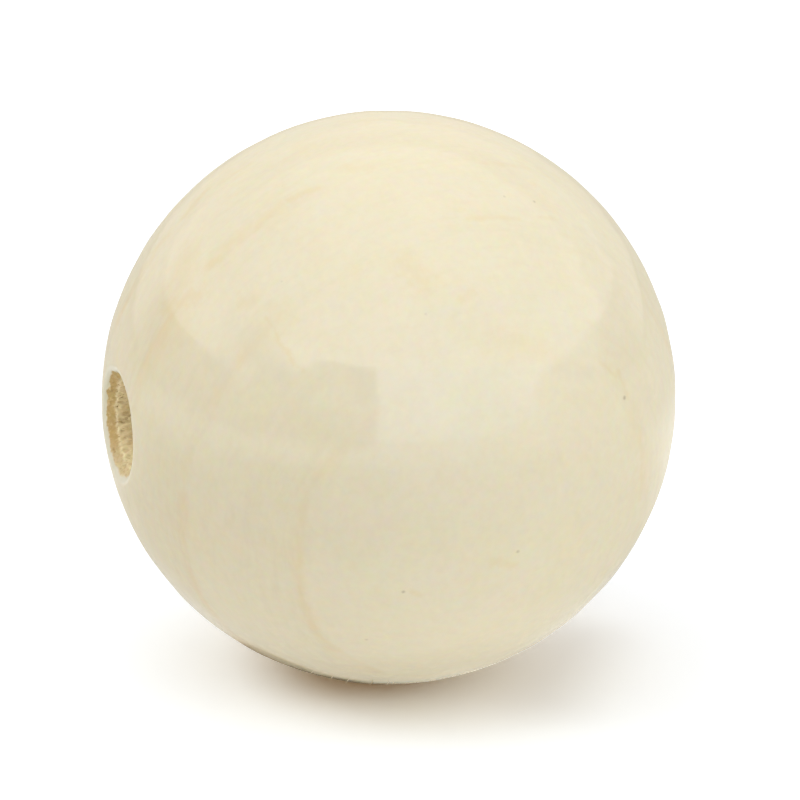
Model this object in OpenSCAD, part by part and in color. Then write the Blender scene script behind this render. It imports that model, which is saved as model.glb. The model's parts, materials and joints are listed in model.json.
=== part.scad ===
// Turned wooden ball with a hole drilled through its middle.
// The origin is the ball's centre, the bore runs along X, and +Z is up.

/* [Ball] */
// Diameter of the turned ball
ball_d = 40; // [30:1:60]

/* [Bore] */
// Diameter of the hole drilled through the middle
bore_d = 6; // [3:0.5:10]

/* [Mouths] */
// How far each mouth is flared beyond the bore's wall, before its lip is rounded
flare_w = 0.9; // [0.6:0.1:2]
// Full angle of the flare's cone
flare_angle = 90; // [60:5:120]
// Radius that rounds the lip over, from the flare to the ball
lip_r = 0.7; // [0.2:0.1:1]

/* [Hidden] */
$fn = 180;

ball_r = ball_d / 2;
bore_r = bore_d / 2;

// The section lies in a half plane: x is the distance from the bore's axis, y runs along it.
// Edge of the mouth as it would be without the lip's round
mouth_r = bore_r + flare_w;
mouth_y = sqrt(ball_r ^ 2 - mouth_r ^ 2);

// Foot of the flare, where the straight wall ends
foot = [bore_r, mouth_y - flare_w / tan(flare_angle / 2)];

// Directions up the flare, and from the flare into the wood
up_flare = [sin(flare_angle / 2), cos(flare_angle / 2)];
into_wood = [cos(flare_angle / 2), -sin(flare_angle / 2)];

// The lip's arc has its centre this deep under both the flare and the ball. That is a hair
// less than its radius, so that the arc crosses both surfaces and doesn't just touch them.
lip_overlap = 0.002;
lip_depth = lip_r - lip_overlap;
lip_start = foot + lip_depth * into_wood;
lip_rise = sqrt((lip_start * up_flare) ^ 2 - lip_start * lip_start + (ball_r - lip_depth) ^ 2)
    - lip_start * up_flare;
lip_centre = lip_start + lip_rise * up_flare;

// Half section of the ball, drilled and flared, with sharp lips
module sharp_section() {
    past_mouth = foot + ball_r * up_flare;
    intersection() {
        circle(r = ball_r);
        polygon([foot, past_mouth, [ball_d, past_mouth.y], [ball_d, -past_mouth.y],
            [past_mouth.x, -past_mouth.y], [foot.x, -foot.y]]);
    }
}

// What the round takes off the lip on the +y side, drawn well past the ball and the flare
module lip_waste() {
    to_ball = 2 * lip_r * lip_centre / norm(lip_centre);
    to_flare = -2 * lip_r * into_wood;
    translate(lip_centre) difference() {
        polygon([[0, 0], to_ball, to_ball + to_flare, to_flare]);
        circle(r = lip_r);
    }
}

module ball() {
    color([0.92, 0.87, 0.75])
    rotate([0, 90, 0])
    rotate_extrude()
    difference() {
        sharp_section();
        lip_waste();
        mirror([0, 1]) lip_waste();
    }
}

ball();
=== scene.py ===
"""Looks of a turned wooden ball with a drilled bore: lacquered wood outside, torn wood inside.

Laid out as a Blender add-on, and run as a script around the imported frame. Everything is in metres, the bore
runs along X, +Z is up and the origin is the ball's centre.
"""

import json
import math

import bpy
import numpy as np
from bpy.props import FloatProperty, FloatVectorProperty, IntProperty, PointerProperty
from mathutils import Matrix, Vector


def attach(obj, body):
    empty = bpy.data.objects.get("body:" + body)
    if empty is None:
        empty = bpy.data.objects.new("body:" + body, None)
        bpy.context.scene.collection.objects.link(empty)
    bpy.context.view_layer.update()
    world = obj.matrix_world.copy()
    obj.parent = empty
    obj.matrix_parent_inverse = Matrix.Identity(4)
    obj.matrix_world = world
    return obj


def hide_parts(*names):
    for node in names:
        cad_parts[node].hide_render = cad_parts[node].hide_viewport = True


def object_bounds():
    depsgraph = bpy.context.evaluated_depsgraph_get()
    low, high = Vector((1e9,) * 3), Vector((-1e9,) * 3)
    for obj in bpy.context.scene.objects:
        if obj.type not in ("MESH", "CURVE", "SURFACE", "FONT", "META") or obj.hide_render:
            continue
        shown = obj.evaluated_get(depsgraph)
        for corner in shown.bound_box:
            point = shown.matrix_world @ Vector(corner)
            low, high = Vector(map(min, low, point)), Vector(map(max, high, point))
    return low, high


bl_info = {
    "name": "Wooden Ball",
    "version": (1, 0, 0),
    "blender": (4, 5, 0),
    "location": "3D View > Sidebar > Wooden Ball",
    "description": "Dresses a drilled wooden ball in lacquered wood and sets up its stage",
    "category": "Add Mesh",
}

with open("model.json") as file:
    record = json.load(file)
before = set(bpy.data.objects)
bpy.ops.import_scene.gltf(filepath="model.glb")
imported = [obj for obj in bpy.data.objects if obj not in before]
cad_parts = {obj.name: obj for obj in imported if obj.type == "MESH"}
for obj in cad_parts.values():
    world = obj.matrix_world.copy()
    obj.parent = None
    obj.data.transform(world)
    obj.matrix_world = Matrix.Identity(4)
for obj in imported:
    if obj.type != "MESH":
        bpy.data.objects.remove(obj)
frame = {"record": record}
CAD_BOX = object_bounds()

MM = 0.001
TURN = 2 * math.pi

# Sizes that come from the frame
NODE = "ball"
BODY = "root"
BORE = frame["record"]["mounts"][0]["dims"]
BORE_RADIUS = BORE["r_mm"] * MM
WALL_HALF_LENGTH = BORE["length_mm"] * MM / 2
BALL_RADIUS = min(CAD_BOX[1].y, CAD_BOX[1].z)
FLOOR_HEIGHT = CAD_BOX[0].z

# Where the camera stands, and the circle that the ball fills in its 800 pixel picture
PICTURE_SIDE_PX = 800
BALL_CENTRE_PX = (388.6, 397.35)
BALL_OUTLINE_PX = 287.6
CAMERA_DISTANCE = 0.300
CAMERA_AZIMUTH = math.radians(-18.3)
CAMERA_ELEVATION = math.radians(17.6)
SENSOR_WIDTH_MM = 36

# The grid that the ball's surface is worked out on
ROWS_PER_HALF = 168
COLUMNS = 288
FINEST_ROW = 0.05 * MM
ROW_GROWTH = 0.045
COARSEST_ROW = 0.40 * MM

# Growth rings run as nearly flat sheets: their direction, and the place of one of them from the ball's centre
ACROSS_RINGS = (0.067, -0.954, -0.291)
RING_OFFSET = 15.25 * MM

# Names of the values that the ball's vertices carry for its material
TORN = "torn"
FRAY = "fray"
LIP = "lip"


def shade(red, green, blue):
    """A display colour from 0 to 255 as linear red, green and blue."""
    return tuple(
        c / 255 / 12.92 if c <= 10.3 else ((c / 255 + 0.055) / 1.055) ** 2.4
        for c in (red, green, blue)
    )


# ---------------------------------------------------------------- settings


def length_setting(name, description, default, low, high):
    """A length, stated in millimetres and kept in metres."""
    return FloatProperty(
        name=name,
        description=description,
        default=default * MM,
        min=low * MM,
        max=high * MM,
        precision=6,
        subtype="DISTANCE",
    )


def colour_setting(name, description, default, highest=1.0):
    """A linear colour."""
    return FloatVectorProperty(
        name=name,
        description=description,
        default=default,
        size=3,
        min=0.0,
        max=highest,
        subtype="COLOR",
    )


def power_setting(name, description, default):
    """The power of a lamp, in watts."""
    return FloatProperty(name=name, description=description, default=default, min=0.0, unit="POWER")


class BallSettings(bpy.types.PropertyGroup):
    """Sizes and colours of the ball."""

    flare_angle: FloatProperty(
        name="Flare angle",
        description="Full angle of the cone that opens each mouth of the bore",
        default=math.radians(90),
        min=math.radians(60),
        max=math.radians(120),
        subtype="ANGLE",
    )
    lip_radius: length_setting(
        "Lip radius", "Radius that rounds each mouth over, from the flare to the ball", 0.7, 0.2, 1.0
    )
    unevenness: length_setting(
        "Unevenness", "How far the sanded surface wanders below a true sphere", 0.030, 0.0, 0.1
    )
    ridge_height: length_setting(
        "Ridge height", "How far the hard wood of a ring stands above the soft wood", 0.004, 0.0, 0.03
    )
    tear_depth: length_setting(
        "Tear depth", "How deep the drill tore the wood of the bore and of its flares", 0.055, 0.0, 0.3
    )
    ring_spacing: length_setting(
        "Ring spacing", "Distance from one growth ring of the wood to the next", 6.95, 1.0, 15.0
    )
    wood: colour_setting("Wood", "Colour of the pale wood between the rings", shade(237, 225, 191))
    ring_line: colour_setting(
        "Ring line", "Colour of the thin line at the end of each year's growth", shade(240, 213, 166)
    )
    late_wood: colour_setting(
        "Late wood", "Colour of the wood that grew just before a ring's line", shade(232, 218, 182)
    )
    torn_wood: colour_setting("Torn wood", "Colour of the raw wood inside the bore", shade(206, 179, 122))


class FibreSettings(bpy.types.PropertyGroup):
    """Sizes of the loose fibres in the bore's mouths and of the slivers on the ball's lower edge."""

    count: IntProperty(
        name="Fibres",
        description="How many loose fibres stand in each mouth",
        default=420,
        min=1,
        max=2000,
    )
    length: length_setting("Length", "Length of the longest fibre", 0.6, 0.1, 3.0)
    width: length_setting("Width", "Width of the widest fibre at its root", 0.09, 0.02, 0.5)
    reach: length_setting("Reach", "How far down the bore from its flares the fibres stand", 2.6, 0.5, 10.0)
    sliver_width: length_setting("Sliver width", "Width of a sliver at its root", 0.18, 0.02, 0.5)


class StageSettings(bpy.types.PropertyGroup):
    """Lights and floor of the stage."""

    overhead_power: power_setting("Overhead panel", "Power of the wide panel above the ball", 12.2)
    rear_power: power_setting("Rear panel", "Power of the overhead panel behind the ball", 4.8)
    front_power: power_setting(
        "Front card", "Power of the card that hangs under the overhead panel's front edge, on the right", 1.9
    )
    side_power: power_setting("Side card", "Power of the bright card on the right", 0.61)
    back_power: power_setting("Back card", "Power of the bright card behind the ball", 0.73)
    key_power: power_setting(
        "Key lamp", "Power of the lamp high on the left, which throws the shadow to the right", 0.82
    )
    fill_power: power_setting("Fill lamp", "Power of the low lamp on the right", 0.31)
    floor_colour: colour_setting(
        "Floor colour", "Colour of the lit floor to the camera, where 1 is white", (1.045, 1.17, 1.30), 2.0
    )
    # The shadow colour is a warm painted glow near the ball that the floor shows to the camera, lifting the
    # ball's shadow
    shadow_colour: colour_setting(
        "Shadow colour", "Colour that the floor keeps in the darkest shadow", (0.145, 0.062, 0.0)
    )
    room_glow: FloatProperty(
        name="Room glow",
        description="How bright the room in front of the ball is in reflections, where 1 is white",
        default=0.42,
        min=0.0,
        max=1.0,
    )


# ---------------------------------------------------------------- the camera's view


def camera_axes():
    """The camera's right, up and back directions."""
    a, e = CAMERA_AZIMUTH, CAMERA_ELEVATION
    right = Vector((math.cos(a), math.sin(a), 0))
    back = Vector((math.sin(a) * math.cos(e), -math.cos(a) * math.cos(e), math.sin(e)))
    return right, back.cross(right), back


def toward_camera():
    """The level direction from the ball towards the camera."""
    return Vector((math.sin(CAMERA_AZIMUTH), -math.cos(CAMERA_AZIMUTH), 0))


def focal_length_px():
    """Focal length, in pixels, at which the ball's outline has its measured radius."""
    tangent = math.sqrt(CAMERA_DISTANCE**2 - BALL_RADIUS**2)
    return BALL_OUTLINE_PX * tangent / BALL_RADIUS


def on_ball(pixel):
    """The point of the ball, in millimetres, that a pixel of the camera's picture shows."""
    right, up, back = camera_axes()
    focal = focal_length_px()
    x = (pixel[0] - BALL_CENTRE_PX[0]) / focal
    y = (BALL_CENTRE_PX[1] - pixel[1]) / focal
    ray = (right * x + up * y - back).normalized()
    eye = back * CAMERA_DISTANCE
    nearest = -ray.dot(eye)
    depth = math.sqrt(BALL_RADIUS**2 - eye.length_squared + nearest**2)
    return (eye + ray * (nearest - depth)) / MM


def on_floor(sideways, forward):
    """The point of the floor that lies so far to the camera's right of the ball's centre and towards it."""
    place = camera_axes()[0] * sideways + toward_camera() * forward
    place.z = FLOOR_HEIGHT
    return place


# ---------------------------------------------------------------- surfaces


def ripples(points, wavelength, seed, waves=40):
    """Smooth random values, one for each point, with a mean of 0 and a mean square of 1.

    The value at p is sqrt(2 / waves) times the sum of sin(k . p + phase), over waves that run in random
    directions and whose lengths lie between 0.7 and 1.4 times the given one.
    """
    rng = np.random.default_rng(seed)
    direction = rng.normal(size=(waves, 3))
    direction /= np.linalg.norm(direction, axis=1, keepdims=True)
    length = wavelength * rng.uniform(0.7, 1.4, size=(waves, 1))
    phase = rng.uniform(0, TURN, size=waves)
    total = np.zeros(points.shape[:-1])
    for k, start in zip(TURN * direction / length, phase):
        total += np.sin(points @ k + start)
    return total * math.sqrt(2 / waves)


def summed_ripples(points, rows):
    """The sum of several sizes of ripples, each row being (amount, wavelength, seed)."""
    return sum(amount * ripples(points, wavelength, seed) for amount, wavelength, seed in rows)


def smooth_step(low, high, values):
    """0 below low, 1 above high and 3 t^2 - 2 t^3 between them."""
    t = np.clip((values - low) / (high - low), 0, 1)
    return t * t * (3 - 2 * t)


def arc(centre, radius, start, end, count):
    """Points of a circle's arc, centre + radius (cos t, sin t), with t even from start to end."""
    t = np.linspace(start, end, count)
    return np.stack([centre[0] + radius * np.cos(t), centre[1] + radius * np.sin(t)], -1)


def half_profile(flare_angle, lip_radius):
    """The ball's outline from the middle of the bore's wall, over the mouth, to the equator.

    Each point is (distance along the bore, distance from its axis). The outline is the straight wall, the
    flare's straight line, the lip's arc, which touches the flare and the ball, and the ball's arc. The lip's
    centre lies lip_radius behind the flare and BALL_RADIUS - lip_radius from the ball's centre.
    Also gives the point where the flare ends and the lip starts.
    """
    half = flare_angle / 2
    foot = np.array([WALL_HALF_LENGTH, BORE_RADIUS])
    up_flare = np.array([math.cos(half), math.sin(half)])
    into_wood = np.array([-math.sin(half), math.cos(half)])
    start = foot + lip_radius * into_wood
    along = start @ up_flare
    rise = math.sqrt(along**2 - start @ start + (BALL_RADIUS - lip_radius) ** 2) - along
    lip_centre = start + rise * up_flare
    flare_end = foot + rise * up_flare
    mouth_angle = math.atan2(lip_centre[1], lip_centre[0])
    steps = 4000
    parts = [
        np.linspace((0, BORE_RADIUS), foot, steps),
        np.linspace(foot, flare_end, steps),
        arc(lip_centre, lip_radius, half - math.pi / 2, mouth_angle, steps),
        arc((0, 0), BALL_RADIUS, mouth_angle, math.pi / 2, steps),
    ]
    return np.concatenate([parts[0]] + [part[1:] for part in parts[1:]]), flare_end


def graded(outline, focus):
    """Picks ROWS_PER_HALF + 1 points of an outline, close together near the focus and far apart away from it.

    The distance between rows grows evenly from FINEST_ROW with the distance from the focus, up to
    COARSEST_ROW, and all of it is scaled to fit the number of rows.
    """
    step = np.linalg.norm(np.diff(outline, axis=0), axis=1)
    away = np.linalg.norm(outline[1:] - focus, axis=1)
    gap = np.minimum(FINEST_ROW + ROW_GROWTH * away, COARSEST_ROW)
    walked = np.concatenate([[0], np.cumsum(step / gap)])
    stops = np.linspace(0, walked[-1], ROWS_PER_HALF + 1)
    return np.stack([np.interp(stops, walked, outline[:, k]) for k in (0, 1)], -1)


def closed_profile(settings):
    """The ball's whole outline as a ring of rows, with the outward normal of each row.

    The half outline is followed by its mirror image, without the two rows that they share. The normal is the
    outline's direction, turned a quarter turn away from the wood.
    """
    outline, flare_end = half_profile(settings.flare_angle, settings.lip_radius)
    half = graded(outline, flare_end)
    mirrored = half[-2:0:-1] * (-1, 1)
    ring = np.concatenate([half, mirrored])
    forward = np.roll(ring, -1, axis=0) - np.roll(ring, 1, axis=0)
    forward /= np.linalg.norm(forward, axis=1, keepdims=True)
    normal = np.stack([forward[:, 1], -forward[:, 0]], -1)
    return ring, normal, flare_end


def spun(profile):
    """Carries (along, out) pairs round the bore: (along, out cos t, out sin t), for COLUMNS angles t."""
    t = np.arange(COLUMNS) * TURN / COLUMNS
    along = np.broadcast_to(profile[:, :1], (len(profile), COLUMNS))
    return np.stack([along, profile[:, 1:] * np.cos(t), profile[:, 1:] * np.sin(t)], -1)


def climb_from(points, flare_end):
    """How far each point lies up the mouth from the flare's end: outwards, or along the bore past the end."""
    out = np.hypot(points[..., 1], points[..., 2]) - flare_end[1]
    beyond = np.abs(points[..., 0]) - flare_end[0]
    return np.maximum(out, beyond)


# The ragged border of the torn wood: how high, how long and which seed each size of ripple has
BORDER_RIPPLES = ((0.022 * MM, 0.25 * MM, 11), (0.035 * MM, 1.0 * MM, 12))


def torn_share(points, flare_end):
    """1 where the drill tore the wood, 0 on the smooth lip and ball, with a ragged border at the flare's end.

    The border lies where the climb from the flare's end passes a random height that changes every few tenths
    of a millimetre around the mouth.
    """
    below, above = 0.05 * MM, 0.0
    climb = climb_from(points, flare_end) - summed_ripples(points, BORDER_RIPPLES)
    return 1 - smooth_step(-below, above, climb)


# How ripples are drawn out along the bore: in the torn wood, and in the broad unevenness of the sanded wood
TORN_STRETCH = (0.4, 1, 1)
SANDED_STRETCH = (0.6, 1, 1)


def torn_height(points):
    """Height of the torn wood, from about -1 in its pits to 1 on its fibres.

    Three sizes of ripples are added, all drawn out along the bore as the wood's fibres are, and pressed
    through tanh, which turns them into flat shreds with steep sides.
    """
    along_grain = points * TORN_STRETCH
    coarse = np.tanh(1.6 * ripples(along_grain, 0.7 * MM, 21))
    middle = np.tanh(2.0 * ripples(along_grain, 0.34 * MM, 22))
    fine = ripples(along_grain, 0.2 * MM, 23)
    return 0.25 * coarse + 0.4 * middle + 0.35 * fine


def ring_ridges(points, spacing):
    """Height of the growth rings' edges, from 0 to 1.

    The level is the distance along ACROSS_RINGS, and a year's growth runs from one ring's level to the next.
    A ridge rises by a smooth step over the last seventh of a year, and drops within a fiftieth of the next.
    """
    level = points @ np.array(ACROSS_RINGS) + 0.25 * MM * ripples(points, 9 * MM, 41)
    year = ((level - RING_OFFSET) / spacing) % 1.0
    rise, crest, drop = 0.86, 0.99, 0.02
    before = smooth_step(rise, crest, year) * (1 - smooth_step(crest, 1.0, year))
    return before + (1 - smooth_step(0, drop, year))


def ball_surface(settings):
    """The ball's points, and the values of its vertices: torn, fray and lip.

    Its outline is spun round the bore, and each point is then moved along its normal: down by the unevenness
    of the sanded wood less the rings' ridges, at most 0, or by the torn wood's height inside the bore.
    """
    profile, normal, flare_end = closed_profile(settings)
    points = spun(profile)
    normals = spun(normal)
    torn = torn_share(points, flare_end)
    broad = 0.40 * ripples(points * SANDED_STRETCH, 8 * MM, 31)
    narrow = 0.42 * ripples(points, 3.6 * MM, 32)
    sunk = settings.unevenness * (1.2 + np.tanh(broad + narrow))
    ridge = settings.ridge_height * (1 - ring_ridges(points, settings.ring_spacing))
    fray = torn_height(points)
    height = torn * settings.tear_depth * (fray - 0.4) - (1 - torn) * (sunk + ridge)
    climb = climb_from(points, flare_end)
    lip = smooth_step(-0.1 * MM, 0.1 * MM, climb) * (1 - smooth_step(0.25 * MM, 0.60 * MM, climb))
    return points + height[..., None] * normals, {TORN: torn, FRAY: fray, LIP: lip}


def ring_faces(rows, columns):
    """Quads of a grid that closes on itself both ways, with their corners in outward order."""
    row, column = np.meshgrid(np.arange(rows), np.arange(columns), indexing="ij")
    next_row = (row + 1) % rows
    next_column = (column + 1) % columns
    corners = [(row, column), (next_row, column), (next_row, next_column), (row, next_column)]
    return np.stack([r * columns + c for r, c in corners], -1).reshape(-1, 4)


# Rows of a fibre or a sliver before its tip, where the last of them lies, and its section's corners
NEEDLE_ROWS = 4
LAST_ROW_AT = 0.85
NEEDLE_CORNERS = 3

# How deep under the wall the fibres start, how far they stray sideways and how much they lean off the wall
FIBRE_ROOT = 0.08 * MM
FIBRE_STRAY = 0.18
FIBRE_LEAN = 0.12

# The fibres' lengths and widths, as shares of the longest and the widest, and how far their tips lift
FIBRE_LENGTHS = (0.3, 1.0)
FIBRE_WIDTHS = (0.35, 1.0)
FIBRE_LIFTS = (0.02, 0.45)

# How far up the flare the last of them start, and how long those on the flare are beside those in the bore
FLARE_SHARE = 0.75
FLARE_LENGTH = 0.45


def fibres(settings, flare):
    """Points of the loose fibres: needles that start just under the wall of the bore, or of its flare.

    Each runs towards the mouth, along the wall or up the flare, and leans a little off it. The flare is given
    as how far it runs along the bore and how far it opens.
    """
    rng = np.random.default_rng(51)
    total = 2 * settings.count
    side = np.repeat((-1.0, 1.0), settings.count)
    deep = rng.uniform(-1.0, FLARE_SHARE, total)
    depth = np.where(deep < 0, deep * settings.reach, deep * flare[0])
    wall = BORE_RADIUS + np.maximum(depth, 0) * flare[1] / flare[0]
    turn = rng.uniform(0, TURN, total)
    inward = -np.stack([np.zeros(total), np.cos(turn), np.sin(turn)], -1)
    along = np.stack([side, np.zeros(total), np.zeros(total)], -1)
    around = np.cross(along, inward)
    slope = np.where(depth > 0, flare[1] / flare[0], 0.0)[:, None]
    run = along - slope * inward
    run /= np.linalg.norm(run, axis=1, keepdims=True)
    run = run + rng.normal(0, FIBRE_STRAY, (total, 1)) * around
    length = settings.length * rng.uniform(*FIBRE_LENGTHS, total) * np.where(depth > 0, FLARE_LENGTH, 1.0)
    width = settings.width * rng.uniform(*FIBRE_WIDTHS, total)
    lift = rng.uniform(*FIBRE_LIFTS, total)
    sunk = wall + FIBRE_ROOT
    root = side[:, None] * (1, 0, 0) * (WALL_HALF_LENGTH + depth)[:, None] - inward * sunk[:, None]
    return needles(root, run + FIBRE_LEAN * inward, inward, around, length, width, lift)


def needles(root, run, up, around, length, width, lift):
    """Points of closed, three-sided needles, as (needle, row and corner, xyz), each one's tip being its last.

    With t from 0 to 1 along a needle, its middle line is root + length (t run + lift t^2 up), and the
    triangle around it shrinks as 1 - t^2.
    """
    t = np.append(np.linspace(0, LAST_ROW_AT, NEEDLE_ROWS), 1.0)[None, :, None]
    bent = t * run[:, None] + lift[:, None, None] * t**2 * up[:, None]
    middle = root[:, None] + length[:, None, None] * bent
    corner = np.arange(NEEDLE_CORNERS) * TURN / NEEDLE_CORNERS
    ring = np.cos(corner)[:, None] * around[:, None] + 0.5 * np.sin(corner)[:, None] * up[:, None]
    size = width[:, None, None, None] / 2 * (1 - t**2)[..., None]
    rows = middle[:, :-1, None] + size[:, :-1] * ring[:, None]
    return np.concatenate([rows.reshape(len(root), -1, 3), middle[:, -1:]], axis=1)


# Where slivers of wood lift off the ball's lower edge: the pixel of each one's root, and its length; how deep
# they start in the wood, and how far they lean
SLIVERS = (
    ((313, 672), 0.20 * MM),
    ((333, 677), 0.30 * MM),
    ((349, 680), 0.36 * MM),
    ((373, 682), 0.32 * MM),
    ((389, 683), 0.26 * MM),
    ((394, 683), 0.20 * MM),
)
SLIVER_ROOT = 0.1 * MM
SLIVER_LEAN = 0.7


def slivers(width):
    """Points of the slivers: needles that lean to the camera's left, out of the ball's lower edge."""
    root = np.array([on_ball(pixel) for pixel, length in SLIVERS]) * MM
    length = np.array([length for pixel, length in SLIVERS])
    outward = root / np.linalg.norm(root, axis=1, keepdims=True)
    lean = outward - SLIVER_LEAN * np.array(camera_axes()[0])
    run = lean / np.linalg.norm(lean, axis=1, keepdims=True)
    around = np.cross(outward, run)
    around /= np.linalg.norm(around, axis=1, keepdims=True)
    straight = np.zeros(len(root))
    wide = np.full(len(root), width)
    up = np.cross(around, run)
    start = root - SLIVER_ROOT * outward
    return needles(start, run, up, around, length + SLIVER_ROOT, wide, straight)


def needle_faces(total):
    """Triangles of every needle: its sides, the fan at its tip and the cap at its root."""
    n, last = NEEDLE_CORNERS, NEEDLE_ROWS - 1
    sides = [
        face
        for row in range(last)
        for k in range(n)
        for a, b in [(row * n + k, row * n + (k + 1) % n)]
        for face in [(a, a + n, b), (b, a + n, b + n)]
    ]
    fan = [(last * n + k, NEEDLE_ROWS * n, last * n + (k + 1) % n) for k in range(n)]
    cap = [(2, 0, 1)]
    one = np.array(sides + fan + cap)
    first = np.arange(total)[:, None, None] * (NEEDLE_ROWS * n + 1)
    return (first + one).reshape(-1, 3)


def mesh_object(name, points, faces, values=None):
    """A smooth mesh object at the origin, with optional named values on its vertices."""
    mesh = bpy.data.meshes.new(name)
    mesh.from_pydata(points.reshape(-1, 3), [], faces)
    for value_name, amounts in (values or {}).items():
        attribute = mesh.attributes.new(value_name, "FLOAT", "POINT")
        attribute.data.foreach_set("value", amounts.astype(np.float32).ravel())
    mesh.shade_smooth()
    mesh.update()
    made = bpy.data.objects.new(name, mesh)
    bpy.context.scene.collection.objects.link(made)
    return made


def finish_piece(piece, material):
    """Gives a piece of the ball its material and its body."""
    piece.data.materials.append(material)
    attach(piece, BODY)


# ---------------------------------------------------------------- node helpers

# How values fade in the materials: from where to where, and from which value to which, which is from 0 to 1
# where nothing else is said
FADES = {
    # Growth rings: by a noise, by the share of a year, and by millimetres to the left or to the right
    "line_width": (0.3, 0.7, 0.5, 1.5),
    "line_strength": (0.35, 0.6, 0.2, 1.0),
    "after_line": (0.0, 0.07, 1.0, 0.0),
    "rings_left": (2.0, 10.0, 0.2, 1.0),
    "rings_right": (11.0, 16.0, 0.2, 0.7),
    "ring_patches": (0.35, 0.6, 0.35, 1.0),
    "late_streaks": (0.35, 0.65, 0.3, 1.0),
    "fine_lines": (0.45, 0.75),
    # Marks and specks: by widths from the mark's line, and by a random number
    "mark_edge": (-0.1, 1.0, 1.0, 0.0),
    "speck_size": (0.0, 1.0, 0.5, 1.2),
    # Torn wood, with painted light down the bore, at the mouths' feet and on its shreds and painted shade in
    # its pits: by millimetres from the bore's axis, by millimetres up, and by the height of its shreds
    "painted_light_down_bore": (3.0, 3.25, 1.0, 0.0),
    "painted_light_mouth_foot": (-1.6, -3.6, 0.0, 0.7),
    "pits": (-0.9, 0.0, 0.25, 0.0),
    "shreds": (0.25, 0.85, 0.0, 0.4),
    "torn_streaks": (0.40, 0.70),
    "streaks_in_bore": (0.0, 1.0, 0.2, 0.05),
    # Lacquer: by a noise, by millimetres up, and by the torn share
    "thin_lacquer": (0.38, 0.50, 0.82, 1.0),
    "dull_edge": (-14.0, -7.0, 0.0, 0.75),
    "roughness": (0.0, 1.0, 0.55, 0.95),
    # Loose fibres and slivers: by a noise
    "dry_tone": (0.35, 0.65),
    "dry_roughness": (0.3, 0.7, 0.85, 0.98),
    # The paper in reflections, with light and shade painted into it: by metres to the camera's right, towards
    # it, or from where the ball stands
    "paper_shaded": (-0.05, 0.05, 0.22, 0.50),
    "paper_far": (0.05, 0.22),
    "paper_near": (0.016, 0.042, 1.0, 0.0),
    "paper_painted_light_by_side": (-0.008, 0.008, 1.07, 1.37),
    "paper_painted_light": (0.0055, 0.0105, 1.7, 1.0),
    "paper_painted_shadow": (0.0042, 0.0050),
    "paper_under": (0.012, 0.024),
    "paper_behind": (0.01, -0.05),
    "paper_painted_light_behind": (0.022, 0.036, 1.0, 1.4),
    "paper_back": (0.05, 0.10, 1.0, 0.52),
    "paper_painted_shadow_tint": (0.0042, 0.0056),
    # The paper to the camera: by metres from where the ball stands
    "paper_horizon": (0.12, 0.30),
    # The overhead panel: by metres towards the camera, and to its right
    "panel_corner": (0.10, 0.45, 0.85, 0.40),
    "panel_behind": (-0.5, 0.0, 0.8, 1.0),
    # The room: by how far a direction points towards the camera, and up
    "backdrop": (-0.30, -0.70, 0.0, 0.8),
    "backdrop_top": (0.20, 0.45, 1.0, 0.4),
    "room_low": (0.0, 0.30, 0.85, 1.2),
    "room_ceiling": (0.45, 0.60, 1.0, 0.4),
}


class Wire:
    """A value on its way through a shader tree, whose arithmetic adds the nodes that it takes."""

    def __init__(self, socket):
        self.socket = socket
        self.tree = socket.id_data

    def __add__(self, other):
        return maths("ADD", self, other)

    def __sub__(self, other):
        return maths("SUBTRACT", self, other)

    def __rsub__(self, other):
        return maths("SUBTRACT", other, self)

    def __mul__(self, other):
        return maths("MULTIPLY", self, other)

    def __truediv__(self, other):
        return maths("DIVIDE", self, other)

    def __rtruediv__(self, other):
        return maths("DIVIDE", other, self)


def add_node(tree, kind, inputs, **settings):
    """Adds a shader node, makes its settings, and links or sets its inputs by name or number."""
    made = tree.nodes.new("ShaderNode" + kind)
    for key, value in settings.items():
        setattr(made, key, value)
    for key, value in inputs.items():
        if isinstance(value, Wire):
            tree.links.new(value.socket, made.inputs[key])
        else:
            made.inputs[key].default_value = value
    return made


def wire(tree, kind, output=0, inputs=None, **settings):
    """One output of a new node."""
    return Wire(add_node(tree, kind, inputs or {}, **settings).outputs[output])


def empty_tree(owner):
    """The emptied node tree of a material, a lamp or the world."""
    owner.use_nodes = True
    owner.node_tree.nodes.clear()
    return owner.node_tree


def give_output(shader, kind="Material"):
    """Ends the tree of a material, a lamp or the world with its shader."""
    add_node(shader.tree, "Output" + kind, {"Surface": shader})


def is_vector(value):
    """Whether a value is a vector or a colour, or a wire that carries one."""
    return value.socket.type != "VALUE" if isinstance(value, Wire) else isinstance(value, (tuple, Vector))


def tree_of(*values):
    """The tree of the first wire among some values."""
    return next(value.tree for value in values if isinstance(value, Wire))


def maths(operation, *values, clamp=False):
    """The result of a Math node, or of a Vector Math node where any of the values is a vector."""
    inputs = dict(enumerate(values))
    if any(is_vector(value) for value in values):
        output = "Value" if operation in ("DOT_PRODUCT", "DISTANCE", "LENGTH") else "Vector"
        return wire(tree_of(*values), "VectorMath", output, inputs, operation=operation)
    return wire(tree_of(*values), "Math", 0, inputs, operation=operation, use_clamp=clamp)


def scaled(vector, factor):
    """A vector times a number."""
    return wire(vector.tree, "VectorMath", 0, {0: vector, "Scale": factor}, operation="SCALE")


def ramp(value, low, high, bottom=0.0, top=1.0):
    """A value taken smoothly from bottom, at low, to top, at high."""
    inputs = {"Value": value, "From Min": low, "From Max": high, "To Min": bottom, "To Max": top}
    return wire(value.tree, "MapRange", "Result", inputs, interpolation_type="SMOOTHSTEP")


def fade(value, name):
    """A value's ramp, by a row of FADES."""
    return ramp(value, *FADES[name])


def mixed(amount, first, second):
    """A number that is the first where the amount is 0 and the second where it is 1."""
    return wire(amount.tree, "Mix", 0, {0: amount, 2: first, 3: second}, data_type="FLOAT")


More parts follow.
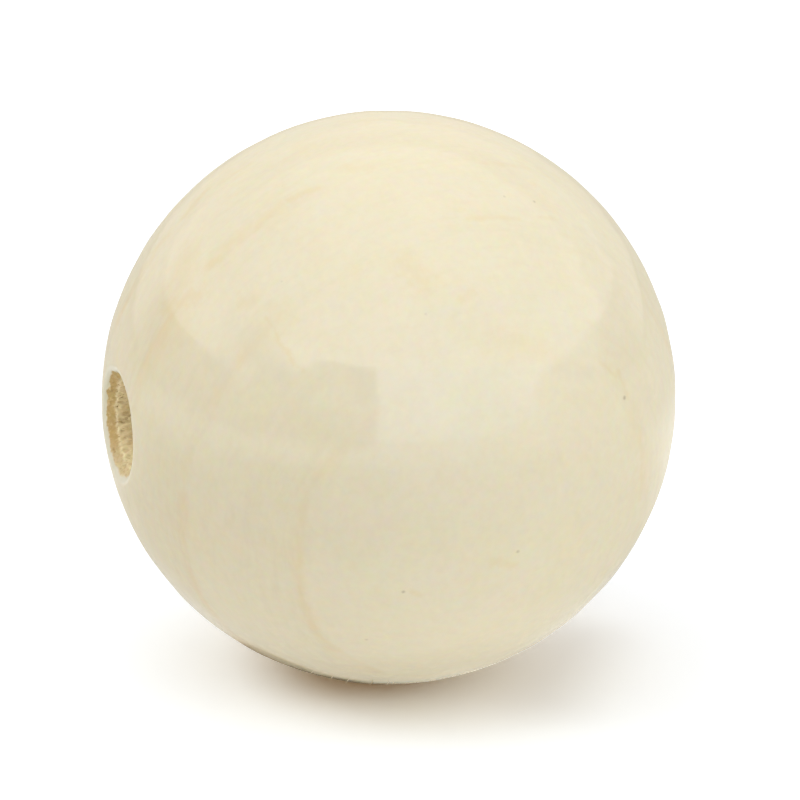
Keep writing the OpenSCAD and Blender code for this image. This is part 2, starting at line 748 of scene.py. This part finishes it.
def blend(amount, first, second, blend_type="MIX"):
    """Two colours mixed: first where the amount is 0, second where it is 1."""
    colours = [colour if isinstance(colour, Wire) else (*colour, 1.0) for colour in (first, second)]
    inputs = {0: amount, 6: colours[0], 7: colours[1]}
    return wire(tree_of(amount, first), "Mix", 2, inputs, data_type="RGBA", blend_type=blend_type)


def noise(position, scale, detail=2.0, roughness=0.5, output="Fac"):
    """A Noise texture's value or colour at a position, with features about 1 / scale across."""
    inputs = {"Vector": position, "Scale": scale, "Detail": detail, "Roughness": roughness}
    return wire(position.tree, "TexNoise", output, inputs)


def part(vector, axis):
    """One coordinate of a vector: 0 for X, 1 for Y, 2 for Z."""
    return wire(vector.tree, "SeparateXYZ", axis, {0: vector})


def position_in_mm(tree):
    """Object coordinates in millimetres."""
    return wire(tree, "TexCoord", "Object") * ((1 / MM,) * 3)


def seen_directly(tree):
    """1 for the rays that show a surface to the camera, straight or by way of gloss or glass."""
    rays = [wire(tree, "LightPath", f"Is {kind} Ray") for kind in ("Camera", "Glossy", "Transmission")]
    return maths("MAXIMUM", maths("MAXIMUM", rays[0], rays[1]), rays[2])


def label(name):
    """The name of a node group's input, from the name of a function's argument."""
    return name.replace("_", " ").capitalize()


def build_group(effect, inputs):
    """A shader node group that does what a function does.

    It has an input for each of the function's arguments, and an output for each wire that the function gives.
    The values of its first use are its defaults.
    """
    group = bpy.data.node_groups.new(effect.__name__, "ShaderNodeTree")
    for name, value in inputs.items():
        kind = "Vector" if is_vector(value) else "Float"
        socket = group.interface.new_socket(label(name), in_out="INPUT", socket_type="NodeSocket" + kind)
        if not isinstance(value, Wire):
            socket.default_value = value
    taken = group.nodes.new("NodeGroupInput").outputs
    results = effect(**{name: Wire(taken[label(name)]) for name in inputs})
    for name, result in results.items():
        kind = "Color" if is_vector(result) else "Float"
        group.interface.new_socket(name, in_out="OUTPUT", socket_type="NodeSocket" + kind)
    given = group.nodes.new("NodeGroupOutput").inputs
    for name, result in results.items():
        group.links.new(result.socket, given[name])
    return group


def use_group(effect, **inputs):
    """The outputs of an effect's node group for some inputs, by name. The group is built at its first use."""
    group = bpy.data.node_groups.get(effect.__name__) or build_group(effect, inputs)
    labelled = {label(name): value for name, value in inputs.items()}
    made = add_node(tree_of(*inputs.values()), "Group", labelled, node_tree=group)
    return {socket.name: Wire(socket) for socket in made.outputs}


# ---------------------------------------------------------------- effects


def growth_rings(position, across, spacing, offset, line_width, wander, fine_spacing, fine_stretch):
    """Growth rings that run as nearly flat sheets through the wood.

    The level of a point is its distance along across, plus a slow wander. Line is the thin line where the
    level passes a whole number of spacings, and Late is the tone that deepens towards it from below. Fine is
    a noise that is drawn out along the sheets, so that it shows as faint lines beside the rings.
    """
    level = maths("DOT_PRODUCT", position, across) + (noise(position, 0.12, detail=3.0) - 0.5) * wander
    turns = (level - offset) / spacing
    year = maths("FRACT", turns)
    nearest = maths("PINGPONG", turns, 0.5) * spacing
    wobble = noise(position, 0.35, detail=2.0)
    line = maths("SUBTRACT", 1.0, nearest / (line_width * fade(wobble, "line_width")), clamp=True)
    late = maths("MAXIMUM", maths("POWER", year, 2.5), fade(year, "after_line"))
    drawn_out = scaled(position, 1.0 / fine_stretch) + scaled(across, level)
    fine = noise(drawn_out, 1.0 / fine_spacing, detail=3.0, roughness=0.6)
    return {"Line": line * fade(wobble, "line_strength"), "Late": late, "Fine": fine}


def long_fibres(position, streak_width, stretch):
    """Fibres that run along X, as long faint streaks."""
    squeeze = wire(position.tree, "CombineXYZ", 0, {0: 1.0 / stretch, 1: 1.0, 2: 1.0})
    return {"Streaks": noise(position * squeeze, 1.0 / streak_width, detail=3.0, roughness=0.6)}


def mottle(position, cloud_size, fleck_size, cloud_strength, fleck_strength):
    """A soft colour tint around white: clouds of two sizes, each colour channel going its own way."""
    tint = COLOURS["white"]
    for size, strength in ((cloud_size, cloud_strength), (fleck_size, fleck_strength)):
        cloud = noise(position, 1.0 / size, detail=2.0, roughness=0.6, output="Color")
        tint = (cloud - (0.5, 0.5, 0.5)) * strength + tint
    return {"Tint": tint}


def lathe_marks(position, pitch):
    """Very faint rings round the bore's axis, as a turning tool and sandpaper leave them."""
    return {"Height": noise(position * (1.0, 0.035, 0.035), 1.0 / pitch, detail=3.0, roughness=0.7)}


def short_mark(position, start, end, width, strength, rough):
    """A mark that runs from start to end: strongest on that line, and 0 a width away from it.

    Rough, in widths, moves its soft edge in and out.
    """
    way = end - start
    from_start = position - start
    square = maths("MAXIMUM", maths("DOT_PRODUCT", way, way), 1e-6)
    share = maths("DIVIDE", maths("DOT_PRODUCT", from_start, way), square, clamp=True)
    away = maths("DISTANCE", from_start, scaled(way, share))
    return {"Mask": fade(away / width + rough, "mark_edge") * strength}


def pin_specks(position, spacing, size):
    """Tiny dark specks, scattered thinly through the wood."""
    cells = add_node(position.tree, "TexVoronoi", {"Vector": position, "Scale": 1.0 / spacing}).outputs
    chances = [wire(position.tree, "SeparateColor", k, {0: Wire(cells["Color"])}) for k in (0, 1)]
    reach = Wire(cells["Distance"]) * spacing / (size * fade(chances[0], "speck_size"))
    mask = maths("SUBTRACT", 1.0, reach, clamp=True)
    return {"Mask": mask * maths("GREATER_THAN", chances[1], 0.5)}


# ---------------------------------------------------------------- materials

# How much of each colour shows where it is strongest
AMOUNTS = {
    "late_wood": 0.9,
    "ring_line": 0.45,
    "fine_line": 0.10,
    "tan_mark": 0.45,
    "grey_mark": 0.5,
    "stray_speck": 0.4,
    "speck": 0.55,
    "lip": 0.60,
}
COLOURS = {
    "white": (1.0, 1.0, 1.0),
    "black": (0.0, 0.0, 0.0),
    "fine_line": shade(226, 206, 168),
    "tan_mark": shade(232, 209, 153),
    "grey_mark": shade(226, 216, 188),
    "speck": shade(150, 128, 96),
    # The lip's paler, greyer band is mostly a painted reflection of the white backdrop
    "lip": shade(232, 228, 206),
    # Painted light: paler wood at the foot of each mouth, which faces up, and deep down the bore, where the
    # wall lies in shade
    "painted_light_mouth_foot": shade(240, 222, 184),
    "painted_light_down_bore": shade(255, 240, 196),
    # Painted shade in the torn wood's pits and painted light on its raised shreds
    "painted_shade_pit": shade(190, 152, 92),
    "painted_light_shred": shade(234, 214, 166),
    "torn_streak": shade(196, 166, 114),
    "fibre": shade(228, 210, 168),
    "sliver_dark": shade(240, 222, 190),
    "sliver_light": shade(252, 244, 226),
    "paper": (0.94, 0.94, 0.94),
    # Warm tint of the painted shadow round the ball's contact, in reflections
    "painted_shadow_tint": (1.05, 0.88, 0.70),
}

# How far the ragged edges of marks stray, in widths, and the marks of this ball's own wood, but for one
# painted shade band among the grey marks: the pixels that each stroke runs from and to, its width in
# millimetres and its strength
RAGGEDNESS = 1.8
TAN_MARKS = {
    "outer_arc": [
        ((124, 306), (134, 284), 0.75, 0.7),
        ((142, 270), (152, 256), 0.65, 0.6),
        ((156, 248), (168, 234), 0.80, 0.8),
        ((184, 216), (206, 190), 0.70, 0.9),
        ((222, 182), (250, 164), 0.70, 0.6),
    ],
    "inner_arc": [
        ((134, 408), (142, 384), 0.80, 0.5),
        ((146, 376), (158, 354), 0.75, 0.6),
        ((162, 344), (174, 312), 0.90, 0.8),
        ((166, 306), (200, 294), 1.35, 0.9),
        ((206, 268), (218, 258), 0.75, 0.9),
        ((222, 252), (250, 226), 0.75, 0.5),
        ((258, 224), (282, 204), 0.75, 0.6),
    ],
    "left_shades": [
        ((188, 256), (178, 336), 2.20, 0.5),
        ((240, 304), (252, 300), 0.75, 0.5),
        ((252, 348), (284, 316), 1.80, 0.35),
        ((272, 308), (286, 302), 0.80, 0.5),
    ],
    "patches": [
        ((346, 168), (368, 168), 0.85, 0.4),
        ((498, 340), (544, 346), 1.40, 0.55),
        ((486, 352), (502, 344), 0.55, 0.5),
    ],
    "edge_streak": [
        ((266, 318), (275, 329), 0.30, 0.7),
        ((275, 329), (279, 343), 0.36, 1.0),
        ((279, 343), (287, 351), 0.34, 0.9),
        ((287, 351), (294, 364), 0.34, 1.0),
        ((294, 364), (303, 370), 0.30, 0.8),
    ],
    "cloud": [
        ((402, 262), (422, 282), 1.7, 0.7),
        ((410, 282), (412, 284), 0.45, 0.8),
    ],
    "grain_dashes": [
        ((484, 163), (528, 168), 0.45, 0.5),
        ((470, 218), (520, 219), 0.40, 0.7),
        ((540, 217), (556, 218), 0.35, 0.5),
        ((288, 200), (318, 188), 0.60, 0.9),
    ],
    "knot_stains": [
        ((462, 298), (471, 292), 0.60, 0.6),
        ((496, 562), (512, 566), 0.65, 0.7),
        ((412, 592), (420, 596), 0.40, 0.7),
    ],
    "ring_line": [
        ((306, 500), (300, 560), 0.40, 0.35),
        ((300, 560), (300, 600), 0.45, 0.5),
        ((300, 600), (315, 632), 0.45, 0.6),
        ((315, 632), (350, 658), 0.45, 0.55),
        ((350, 658), (380, 672), 0.40, 0.4),
    ],
    "right_edge": [
        ((600, 362), (616, 376), 0.30, 0.6),
        ((619, 372), (628, 398), 0.40, 0.7),
        ((640, 440), (640, 500), 0.45, 0.6),
        ((632, 408), (636, 490), 1.60, 0.35),
    ],
}
GREY_MARKS = {
    "right_arc": [
        ((575, 225), (601, 246), 0.40, 0.5),
        ((601, 246), (626, 272), 0.40, 0.5),
    ],
    "patches": [
        ((356, 372), (368, 394), 1.3, 0.6),
        ((208, 356), (226, 372), 1.1, 0.6),
    ],
    "streak_side": [
        ((234, 326), (254, 340), 1.5, 0.7),
        ((254, 354), (282, 373), 1.2, 0.8),
    ],
    # A painted shade: a darker band just under the overhead panel's edge where it shows in the lacquer
    "painted_shade_under_reflected_edge": [
        ((476, 371), (590, 373), 0.80, 0.8),
    ],
}
DARK_MARKS = {
    "specks": [
        ((625, 398), (625, 398), 0.22, 1.0),
        ((403, 592), (403, 592), 0.20, 0.9),
        ((505, 196), (505, 196), 0.18, 0.6),
        ((535, 201), (535, 201), 0.20, 0.7),
        ((426, 314), (426, 314), 0.18, 0.4),
        ((518, 552), (518, 552), 0.20, 0.7),
        ((366, 640), (366, 640), 0.18, 0.5),
    ],
}


def marks(position, places):
    """The strongest of several short marks at each point, with ragged edges."""
    rough = (noise(position, 1.8, detail=4.0, roughness=0.7) - 0.5) * RAGGEDNESS
    strongest = 0.0
    for start, end, width, strength in sum(places.values(), []):
        sizes = {"start": on_ball(start), "end": on_ball(end), "width": width, "strength": strength}
        mark = use_group(short_mark, position=position, rough=rough, **sizes)
        strongest = maths("MAXIMUM", mark["Mask"], strongest)
    return strongest


def laid_over(colour, mask, name):
    """A colour with the named one over it, as much as the mask and AMOUNTS say."""
    return blend(mask * AMOUNTS[name], colour, COLOURS[name])


def ring_strength(position):
    """How strongly the rings show: most by the left mouth and under it, less on the right, least between."""
    left = fade(maths("DOT_PRODUCT", position, (-0.8, 0.0, -0.6)), "rings_left")
    right = fade(part(position, 0), "rings_right")
    return maths("MAXIMUM", left, right) * fade(noise(position, 0.16, detail=2.0), "ring_patches")


def smooth_wood_colour(position, settings, rings):
    """Colour of the lacquered wood: rings, fine lines, clouds and marks over the pale wood."""
    strength = ring_strength(position)
    late = rings["Late"] * strength * fade(rings["Fine"], "late_streaks")
    colour = blend(late * AMOUNTS["late_wood"], tuple(settings.wood), tuple(settings.late_wood))
    line = rings["Line"] * strength * AMOUNTS["ring_line"]
    colour = blend(line, colour, tuple(settings.ring_line))
    colour = laid_over(colour, fade(rings["Fine"], "fine_lines"), "fine_line")
    strengths = {"cloud_strength": (0.06, 0.05, 0.12), "fleck_strength": (0.10, 0.11, 0.26)}
    clouds = use_group(mottle, position=position, cloud_size=3.5, fleck_size=0.6, **strengths)
    colour = blend(1.0, colour, clouds["Tint"], "MULTIPLY")
    colour = laid_over(colour, marks(position, TAN_MARKS), "tan_mark")
    colour = laid_over(colour, marks(position, GREY_MARKS), "grey_mark")
    specks = use_group(pin_specks, position=position, spacing=3.4, size=0.10)["Mask"]
    dark = maths("MAXIMUM", marks(position, DARK_MARKS), specks * AMOUNTS["stray_speck"])
    return laid_over(colour, dark, "speck")


def torn_wood_colour(position, settings, streaks, fray):
    """Colour of raw wood, with painted shade in its pits and painted light on its shreds, deep down the bore
    and at the mouths' feet.
    """
    flat = position * (0.0, 1.0, 1.0)
    # Painted light: the wall deep down the bore and the upward foot of each mouth are painted paler
    painted_light_down_bore = fade(maths("LENGTH", flat), "painted_light_down_bore")
    raw = blend(fade(part(position, 2), "painted_light_mouth_foot"), tuple(settings.torn_wood), COLOURS["painted_light_mouth_foot"])
    raw = blend(painted_light_down_bore, raw, COLOURS["painted_light_down_bore"])
    # Painted shade in the pits and painted light on the raised shreds, by the torn wood's height
    raw = blend(fade(fray, "pits"), raw, COLOURS["painted_shade_pit"])
    raw = blend(fade(fray, "shreds"), raw, COLOURS["painted_light_shred"])
    streak = fade(streaks, "torn_streaks") * fade(painted_light_down_bore, "streaks_in_bore")
    raw = blend(streak, raw, COLOURS["torn_streak"])
    strengths = {"cloud_strength": (0.12, 0.14, 0.20), "fleck_strength": (0.10, 0.12, 0.18)}
    clouds = use_group(mottle, position=position, cloud_size=1.0, fleck_size=0.2, **strengths)
    return blend(1.0, raw, clouds["Tint"], "MULTIPLY")


def wood_material(settings):
    """Lacquered pale wood outside, and bare torn wood wherever the torn value is 1."""
    material = bpy.data.materials.new("lacquered_wood")
    tree = empty_tree(material)
    position = position_in_mm(tree)
    torn, fray, lip = (wire(tree, "Attribute", "Fac", attribute_name=value) for value in (TORN, FRAY, LIP))
    streaks = use_group(long_fibres, position=position, streak_width=0.35, stretch=6.0)["Streaks"]
    rings = use_group(
        growth_rings,
        position=position,
        across=ACROSS_RINGS,
        spacing=settings.ring_spacing / MM,
        offset=RING_OFFSET / MM,
        line_width=0.50,
        wander=1.5,
        fine_spacing=0.55,
        fine_stretch=5.0,
    )
    # Over the lip lies a painted reflection of the white backdrop
    smooth_colour = laid_over(smooth_wood_colour(position, settings, rings), lip, "lip")
    colour = blend(torn, smooth_colour, torn_wood_colour(position, settings, streaks, fray))

    thin_patch = fade(noise(position, 0.45, detail=4.0, roughness=0.6), "thin_lacquer")
    dulled = wire(tree, "LayerWeight", "Facing", {"Blend": 0.5}) * fade(part(position, 2), "dull_edge")
    lacquer = (1.0 - torn) * thin_patch * (1.0 - dulled)

    grain = use_group(lathe_marks, position=position, pitch=0.35)["Height"] + rings["Fine"] * 0.8
    look = {
        "Base Color": colour,
        "Roughness": fade(torn, "roughness"),
        "Specular IOR Level": 0.15,
        "Coat Weight": lacquer,
        "Coat Roughness": 0.10,
        "Coat IOR": 1.77,
        "Normal": wire(tree, "Bump", 0, {"Height": grain, "Strength": 0.3, "Distance": 0.008 * MM}),
    }
    give_output(wire(tree, "BsdfPrincipled", 0, look))
    return material


def dry_wood_material(name, dark, light):
    """Bare dry wood between two tones, with fibres along X."""
    material = bpy.data.materials.new(name)
    tree = empty_tree(material)
    position = position_in_mm(tree)
    streaks = use_group(long_fibres, position=position, streak_width=0.12, stretch=8.0)["Streaks"]
    tone = noise(position, 2.5, detail=2.0)
    look = {
        "Base Color": blend(streaks * 0.4, blend(fade(tone, "dry_tone"), dark, light), dark),
        "Roughness": fade(tone, "dry_roughness"),
        "Specular IOR Level": 0.15,
        "Normal": wire(tree, "Bump", 0, {"Height": streaks, "Strength": 0.4, "Distance": 0.01 * MM}),
    }
    give_output(wire(tree, "BsdfPrincipled", 0, look))
    return material


# How white the paper is in reflections far in front of the ball, where its shade is painted, and in the
# painted shadow round its contact, and how far that painted shadow reaches to the left
FAR_WHITENESS = 0.75
PAINTED_SHADOW_WHITENESS = 0.4
SPOT_LEAN = 0.6


def paper_in_gloss(tree):
    """The paper's colour in reflections, by its place, with light and shade painted into it.

    It has painted shade in front of the ball and is near white under it, with painted light brighter than
    white close to the contact, but for a warm painted shadow round the contact. Behind the ball it has
    painted light, brightest about a ball's width away, and dims further off.
    """
    position = wire(tree, "NewGeometry", "Position")
    from_contact = maths("LENGTH", position * (1.0, 1.0, 0.0))
    sideways = maths("DOT_PRODUCT", position, camera_axes()[0])
    forward = maths("DOT_PRODUCT", position, toward_camera())
    from_spot = from_contact + sideways * SPOT_LEAN
    far = mixed(fade(from_contact, "paper_far"), fade(sideways, "paper_shaded"), FAR_WHITENESS)
    # Painted light under the ball, brighter than white, more to the right
    lifted = fade(sideways, "paper_painted_light_by_side") * fade(from_contact, "paper_painted_light")
    under = mixed(fade(from_spot, "paper_painted_shadow"), PAINTED_SHADOW_WHITENESS, lifted)
    under = mixed(fade(from_contact, "paper_under"), under, 1.0)
    front = mixed(fade(from_contact, "paper_near"), far, under)
    back = fade(from_contact, "paper_painted_light_behind") * fade(from_contact, "paper_back")
    whiteness = mixed(fade(forward, "paper_behind"), front, back)
    return scaled(blend(fade(from_spot, "paper_painted_shadow_tint"), COLOURS["painted_shadow_tint"], COLOURS["white"]), whiteness)


# A painted shadow on the paper, seen only by the camera, where the ball's shadow reaches out to its right:
# how far right of the ball's centre and how far towards the camera its ends lie, how wide it is, how dark and
# how ragged
PAINTED_SHADOW_ENDS = {"start": (0.0132, -0.0050), "end": (0.0105, 0.0062)}
PAINTED_SHADOW_PATCH = {"width": 0.0072, "strength": 0.17, "rough": 0.0}


def floor_material(settings):
    """White paper that throws back plain light, with a painted shadow and a warm painted glow to the camera,
    and painted light and shade in reflections.
    """
    material = bpy.data.materials.new("floor_paper")
    tree = empty_tree(material)
    to_camera = wire(tree, "LightPath", "Is Camera Ray")
    position = wire(tree, "NewGeometry", "Position")
    ends = {end: on_floor(*place) for end, place in PAINTED_SHADOW_ENDS.items()}
    # A painted shadow: the paper is darker to the camera right of the ball's shadow
    painted_shadow_mask = use_group(short_mark, position=position, **ends, **PAINTED_SHADOW_PATCH)["Mask"]
    lit = blend(painted_shadow_mask, tuple(settings.floor_colour), COLOURS["black"])
    colour = blend(seen_directly(tree), COLOURS["paper"], paper_in_gloss(tree))
    diffuse = wire(tree, "BsdfDiffuse", 0, {"Color": blend(to_camera, colour, lit)})
    # A painted glow to the camera: warm near the ball, where it lifts the ball's shadow, turning to the white
    # backdrop far off
    horizon = fade(maths("LENGTH", position), "paper_horizon")
    lift = blend(horizon, tuple(settings.shadow_colour), COLOURS["white"])
    glow = wire(tree, "Emission", 0, {"Color": lift, "Strength": to_camera})
    give_output(wire(tree, "AddShader", 0, {0: diffuse, 1: glow}))
    return material


# ---------------------------------------------------------------- stage


def add_camera():
    """The camera, turned so that the ball's centre lands on its measured pixel."""
    right, up, back = camera_axes()
    data = bpy.data.cameras.new("camera")
    data.sensor_width = SENSOR_WIDTH_MM
    data.lens = focal_length_px() * SENSOR_WIDTH_MM / PICTURE_SIDE_PX
    data.clip_start = 0.01
    data.clip_end = 10.0
    camera = bpy.data.objects.new("camera", data)
    bpy.context.scene.collection.objects.link(camera)
    metres_per_px = CAMERA_DISTANCE / focal_length_px()
    middle = PICTURE_SIDE_PX / 2
    aim = right * (middle - BALL_CENTRE_PX[0]) * metres_per_px
    aim -= up * (middle - BALL_CENTRE_PX[1]) * metres_per_px
    camera.location = back * CAMERA_DISTANCE
    camera.rotation_euler = (camera.location - aim).to_track_quat("Z", "Y").to_euler()
    bpy.context.scene.camera = camera


def add_lamp(name, centre, size, power, facing=None):
    """A rectangular area lamp that faces along a direction, or straight down and square to the camera."""
    data = bpy.data.lights.new(name, "AREA")
    data.shape = "RECTANGLE"
    data.size, data.size_y = size
    data.energy = power
    lamp = bpy.data.objects.new(name, data)
    bpy.context.scene.collection.objects.link(lamp)
    lamp.location = centre
    if facing is None:
        lamp.rotation_euler = (0, 0, CAMERA_AZIMUTH)
    else:
        lamp.rotation_euler = facing.to_track_quat("-Z", "Y").to_euler()
    return lamp


def shade_overhead_panel(lamp):
    """Dims the overhead panel's near left corner, beyond a straight edge that shows in the lacquer.

    The dimming fades out away from the camera, and a second edge, where the distance to the right plus SLANT
    times the distance towards the camera is SLANT_OFFSET, cuts off the corner behind it.
    """
    tree = empty_tree(lamp.data)
    position = wire(tree, "NewGeometry", "Position")
    across = maths("DOT_PRODUCT", position, camera_axes()[0])
    forward = maths("DOT_PRODUCT", position, toward_camera())
    left = ramp(across, PANEL_LEFT - EDGE_SOFTNESS, PANEL_LEFT + EDGE_SOFTNESS)
    past = ramp(across + forward * SLANT, SLANT_OFFSET - 2 * EDGE_SOFTNESS, SLANT_OFFSET + 2 * EDGE_SOFTNESS)
    behind = mixed(past, fade(across, "panel_behind"), 1.0)
    strength = maths("MINIMUM", mixed(left, fade(forward, "panel_corner"), 1.0), behind)
    give_output(wire(tree, "Emission", 0, {"Strength": strength}), "Light")


# The light box round the ball, in metres from its centre: half its width, its height, how far its front, the
# rear panel's front edge and its back lie towards the camera, how low its cards hang, and where two cards end
BOX_HALF_WIDTH = 1.5
BOX_HEIGHT = 0.45
BOX_FRONT = 0.81
BOX_MIDDLE = -0.45
BOX_BACK = -1.3
CARD_FOOT = -0.018
FRONT_CARD_LEFT = -0.07
SIDE_CARD_BACK = -0.2
FRONT_CARD_COLOUR = (0.86, 1.0, 1.2)

# The overhead panel's two inner edges, and half the width that the first one fades over
PANEL_LEFT = -0.58
SLANT = 1.46
SLANT_OFFSET = 0.13
EDGE_SOFTNESS = 0.03

# The small lamps: azimuth and elevation in degrees, width and height, and how far away they stand
KEY_LAMP = (-75, 45, (0.40, 0.25))
FILL_LAMP = (60, 16, (0.30, 0.24))
LAMP_DISTANCE = 0.6

# How wide the floor is
FLOOR_SIDE = 3.0


def add_lights(settings):
    """A box of soft light: two panels overhead, cards in front, on the right and behind, and two small lamps.

    The overhead panel's front and left edges and the front card's left edge show in the lacquer, and the
    small lamps don't.
    """
    right = camera_axes()[0]
    toward = toward_camera()
    up = Vector((0, 0, 1))
    width = 2 * BOX_HALF_WIDTH
    for name, near, far, power in (
        ("overhead_panel", BOX_FRONT, BOX_MIDDLE, settings.overhead_power),
        ("rear_panel", BOX_MIDDLE, BOX_BACK, settings.rear_power),
    ):
        lamp = add_lamp(name, toward * (near + far) / 2 + up * BOX_HEIGHT, (width, near - far), power)
        if near == BOX_FRONT:
            shade_overhead_panel(lamp)
    card_height = BOX_HEIGHT - CARD_FOOT
    middle_height = up * (BOX_HEIGHT + CARD_FOOT) / 2
    for name, near, left, far, power in (
        ("front_card", BOX_FRONT, FRONT_CARD_LEFT, BOX_HALF_WIDTH, settings.front_power),
        ("back_card", BOX_BACK, -BOX_HALF_WIDTH, BOX_HALF_WIDTH, settings.back_power),
    ):
        centre = toward * near + right * (left + far) / 2 + middle_height
        facing = toward * -math.copysign(1, near)
        lamp = add_lamp(name, centre, (far - left, card_height), power, facing)
        if near == BOX_FRONT:
            lamp.data.color = FRONT_CARD_COLOUR
    centre = right * BOX_HALF_WIDTH + toward * (BOX_FRONT + SIDE_CARD_BACK) / 2 + middle_height
    add_lamp("side_card", centre, (BOX_FRONT - SIDE_CARD_BACK, card_height), settings.side_power, -right)
    for name, (azimuth, elevation, size), power in (
        ("key_lamp", KEY_LAMP, settings.key_power),
        ("fill_lamp", FILL_LAMP, settings.fill_power),
    ):
        level = toward * math.cos(math.radians(azimuth)) + right * math.sin(math.radians(azimuth))
        place = level * math.cos(math.radians(elevation)) + up * math.sin(math.radians(elevation))
        lamp = add_lamp(name, place * LAMP_DISTANCE, size, power, -place)
        lamp.visible_glossy = False


def add_world(settings):
    """A room that only the camera and gloss see: white behind the ball, and a dim glow all around it.

    The glow is a little dimmer at the floor's level, and dimmest where the box's ceiling is.
    """
    world = bpy.data.worlds.new("room")
    bpy.context.scene.world = world
    tree = empty_tree(world)
    direction = wire(tree, "TexCoord", "Generated")
    height = part(direction, 2)
    forward = maths("DOT_PRODUCT", direction, toward_camera())
    backdrop = fade(forward, "backdrop") * fade(height, "backdrop_top")
    glow = fade(height, "room_low") * fade(height, "room_ceiling") * settings.room_glow
    in_gloss = seen_directly(tree) * maths("MAXIMUM", backdrop, glow)
    strength = maths("MAXIMUM", wire(tree, "LightPath", "Is Camera Ray"), in_gloss)
    light = wire(tree, "Background", 0, {"Color": (*COLOURS["white"], 1.0), "Strength": strength})
    give_output(light, "World")


def add_floor(settings):
    """A wide flat sheet under the ball."""
    corners = np.array([(-1, -1), (1, -1), (1, 1), (-1, 1)]) * FLOOR_SIDE / 2
    points = np.column_stack([corners, np.full(4, FLOOR_HEIGHT)])
    floor = mesh_object("floor", points, np.array([[0, 1, 2, 3]]))
    floor.data.materials.append(floor_material(settings))


# ---------------------------------------------------------------- operators

UNDOABLE = {"REGISTER", "UNDO"}


class WOODENBALL_OT_turn_ball(bpy.types.Operator):
    """Turns the drilled ball and finishes it in lacquered wood"""

    bl_idname = "wooden_ball.turn_ball"
    bl_label = "Turn Ball"
    bl_options = UNDOABLE

    def execute(self, context):
        settings = context.scene.wooden_ball
        points, values = ball_surface(settings)
        ball = mesh_object("turned_ball", points, ring_faces(*points.shape[:2]), values)
        finish_piece(ball, wood_material(settings))
        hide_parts(NODE)
        return {"FINISHED"}


class WOODENBALL_OT_raise_fibres(bpy.types.Operator):
    """Raises the loose fibres that the drill left in both mouths of the bore"""

    bl_idname = "wooden_ball.raise_fibres"
    bl_label = "Raise Fibres"
    bl_options = UNDOABLE

    def execute(self, context):
        ball = context.scene.wooden_ball
        settings = context.scene.wooden_ball_fibres
        flare_end = half_profile(ball.flare_angle, ball.lip_radius)[1]
        flare = flare_end - (WALL_HALF_LENGTH, BORE_RADIUS)
        points = fibres(settings, flare)
        loose = mesh_object("torn_fibres", points, needle_faces(len(points)))
        wood = dry_wood_material("loose_fibre_wood", tuple(ball.torn_wood), COLOURS["fibre"])
        finish_piece(loose, wood)
        return {"FINISHED"}


class WOODENBALL_OT_lift_slivers(bpy.types.Operator):
    """Lifts a few slivers of wood off the ball's lower edge"""

    bl_idname = "wooden_ball.lift_slivers"
    bl_label = "Lift Slivers"
    bl_options = UNDOABLE

    def execute(self, context):
        points = slivers(context.scene.wooden_ball_fibres.sliver_width)
        lifted = mesh_object("lifted_slivers", points, needle_faces(len(points)))
        wood = dry_wood_material("sliver_wood", COLOURS["sliver_dark"], COLOURS["sliver_light"])
        finish_piece(lifted, wood)
        return {"FINISHED"}


class WOODENBALL_OT_set_stage(bpy.types.Operator):
    """Sets up the floor, the lights and the camera"""

    bl_idname = "wooden_ball.set_stage"
    bl_label = "Set Stage"
    bl_options = UNDOABLE

    def execute(self, context):
        settings = context.scene.wooden_ball_stage
        context.scene.view_settings.view_transform = "Standard"
        add_camera()
        add_world(settings)
        add_lights(settings)
        add_floor(settings)
        return {"FINISHED"}


class WOODENBALL_PT_sidebar(bpy.types.Panel):
    """Lists the ball's pieces and their settings"""

    bl_idname = "WOODENBALL_PT_sidebar"
    bl_label = "Wooden Ball"
    bl_space_type = "VIEW_3D"
    bl_region_type = "UI"
    bl_category = "Wooden Ball"

    def draw(self, context):
        scene = context.scene
        for settings, *operators in (
            (scene.wooden_ball, WOODENBALL_OT_turn_ball),
            (scene.wooden_ball_fibres, WOODENBALL_OT_raise_fibres, WOODENBALL_OT_lift_slivers),
            (scene.wooden_ball_stage, WOODENBALL_OT_set_stage),
        ):
            box = self.layout.box()
            for name in settings.__annotations__:
                box.prop(settings, name)
            for operator in operators:
                box.operator(operator.bl_idname)


CLASSES = (
    BallSettings,
    FibreSettings,
    StageSettings,
    WOODENBALL_OT_turn_ball,
    WOODENBALL_OT_raise_fibres,
    WOODENBALL_OT_lift_slivers,
    WOODENBALL_OT_set_stage,
    WOODENBALL_PT_sidebar,
)


def register():
    for cls in CLASSES:
        bpy.utils.register_class(cls)
    bpy.types.Scene.wooden_ball = PointerProperty(type=BallSettings)
    bpy.types.Scene.wooden_ball_fibres = PointerProperty(type=FibreSettings)
    bpy.types.Scene.wooden_ball_stage = PointerProperty(type=StageSettings)


def unregister():
    del bpy.types.Scene.wooden_ball_stage
    del bpy.types.Scene.wooden_ball_fibres
    del bpy.types.Scene.wooden_ball
    for cls in reversed(CLASSES):
        bpy.utils.unregister_class(cls)


def main():
    """Makes every piece in order, then the stage."""
    register()
    bpy.ops.wooden_ball.turn_ball()
    bpy.ops.wooden_ball.raise_fibres()
    bpy.ops.wooden_ball.lift_slivers()
    bpy.ops.wooden_ball.set_stage()


if __name__ == "__main__":
    main()
